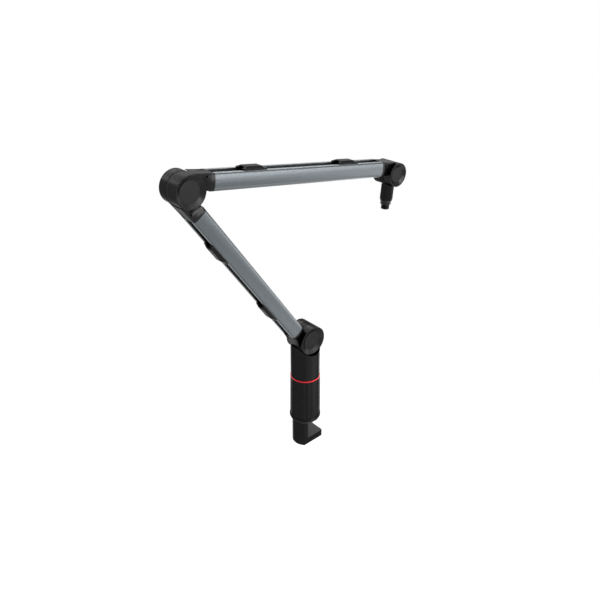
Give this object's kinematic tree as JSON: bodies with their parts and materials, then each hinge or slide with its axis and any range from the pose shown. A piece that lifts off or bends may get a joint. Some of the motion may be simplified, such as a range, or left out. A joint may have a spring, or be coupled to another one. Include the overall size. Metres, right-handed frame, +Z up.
{
  "type": "microphone boom arm",
  "caption": "Folding microphone boom arm on a desk clamp: round friction hinges, tubes with open cable channels and clips, and a tilting stem with a threaded stud.",
  "frame": {"origin": "on the clamp's axis, on the pad face that rests on the desk", "axes": "+Z up along the clamp and post, +X from the clamp's back towards its foot and the head, +Y away from the hinge faces seen first"},
  "size_m": [0.494, 0.061, 0.6083],
  "materials": {
    "black_plastic": "satin moulded plastic",
    "cover_plastic": "matt moulded plastic",
    "arm_metal": "satin anodised",
    "black_metal": "black anodised",
    "red_ring": "red anodised",
    "steel": "turned",
    "dark_steel": "blackened",
    "bronze": "turned",
    "friction": "fibre filled",
    "rubber": "matt"
  },
  "bodies": {
    "clamp": {"base_core": "black_metal", "desk_pad": "rubber", "sleeve_washer": "friction", "swivel_plate": "black_metal"},
    "sleeve": {"clamp_sleeve": "black_metal"},
    "jaw": {"clamp_jaw": "black_metal", "jaw_pad": "rubber"},
    "turret": {"post": "black_metal", "post_bush": "bronze", "swivel_ring": "red_ring", "swivel_bolt": "steel", "swivel_bolt_washer": "steel", "shoulder_bush": "bronze"},
    "lower_arm": {"lower_tube": "arm_metal", "lower_screws": "dark_steel", "lower_shoulder_fitting": "black_plastic", "lower_elbow_fitting": "black_plastic", "shoulder_axle": "steel", "shoulder_nut": "steel", "shoulder_springs": "steel", "shoulder_washers": "friction", "shoulder_bezels": "black_plastic", "shoulder_discs": "cover_plastic", "elbow_bush": "bronze", "elbow_thrust_washer": "steel", "elbow_rear_bezel": "black_plastic", "elbow_rear_disc": "cover_plastic"},
    "upper_arm": {"upper_tube": "arm_metal", "upper_screws": "dark_steel", "upper_elbow_fitting": "black_plastic", "upper_head_fitting": "black_plastic", "elbow_axle": "steel", "elbow_nut": "steel", "elbow_springs": "steel", "elbow_friction_disc": "friction", "elbow_front_bezel": "black_plastic", "elbow_front_disc": "cover_plastic", "head_axle": "steel", "head_nut": "steel", "head_springs": "steel", "head_washers": "friction", "head_bezels": "black_plastic", "head_discs": "cover_plastic"},
    "head_stem": {"stem": "black_metal", "head_bush": "bronze", "grub_screw": "dark_steel", "stud_washer": "friction"},
    "stud": {"mic_stud": "dark_steel"},
    "clip_lower_base": {"lower_clip_base_end": "black_plastic"},
    "clip_lower_elbow": {"lower_clip_elbow_end": "black_plastic"},
    "clip_upper_elbow": {"upper_clip_elbow_end": "black_plastic"},
    "clip_upper_head": {"upper_clip_head_end": "black_plastic"}
  },
  "joints": [
    {"name": "sleeve_turn", "type": "hinge", "parent": "clamp", "child": "sleeve", "pos_m": [0, 0, 0], "axis": [0, 0, 1], "range_deg": [-1290, 500]},
    {"name": "jaw_slide", "type": "slide", "parent": "clamp", "child": "jaw", "axis": [0, 0, 1], "range_m": [-0.014, 0.036]},
    {"name": "post_swivel", "type": "hinge", "parent": "clamp", "child": "turret", "pos_m": [0, 0, 0.1829], "axis": [0, 0, 1], "continuous": true},
    {"name": "shoulder_hinge", "type": "hinge", "parent": "turret", "child": "lower_arm", "pos_m": [0, 0, 0.1829], "axis": [0, 1, 0], "range_deg": [-6, 72]},
    {"name": "elbow_hinge", "type": "hinge", "parent": "lower_arm", "child": "upper_arm", "pos_m": [-0.23584, 0, 0.52413], "axis": [0, 1, 0], "range_deg": [-130, 26]},
    {"name": "head_hinge", "type": "hinge", "parent": "upper_arm", "child": "head_stem", "pos_m": [0.21054, 0, 0.45503], "axis": [0, 1, 0], "range_deg": [-100, 48]},
    {"name": "stud_swivel", "type": "hinge", "parent": "head_stem", "child": "stud", "pos_m": [0.21054, 0, 0.45503], "axis": [-0.0932, 0, -0.9956], "continuous": true},
    {"name": "clip_lower_base_slide", "type": "slide", "parent": "lower_arm", "child": "clip_lower_base", "axis": [-0.5686, 0, 0.8226], "range_m": [-0.05, 0.055]},
    {"name": "clip_lower_elbow_slide", "type": "slide", "parent": "lower_arm", "child": "clip_lower_elbow", "axis": [-0.5686, 0, 0.8226], "range_m": [-0.055, 0.045]},
    {"name": "clip_upper_elbow_slide", "type": "slide", "parent": "upper_arm", "child": "clip_upper_elbow", "axis": [0.9882, 0, -0.153], "range_m": [-0.045, 0.07]},
    {"name": "clip_upper_head_slide", "type": "slide", "parent": "upper_arm", "child": "clip_upper_head", "axis": [0.9882, 0, -0.153], "range_m": [-0.07, 0.055]}
  ],
  "couplings": [
    {"joint": "jaw_slide", "follows": "sleeve_turn", "m_per_rad": -0.0015915}
  ]
}
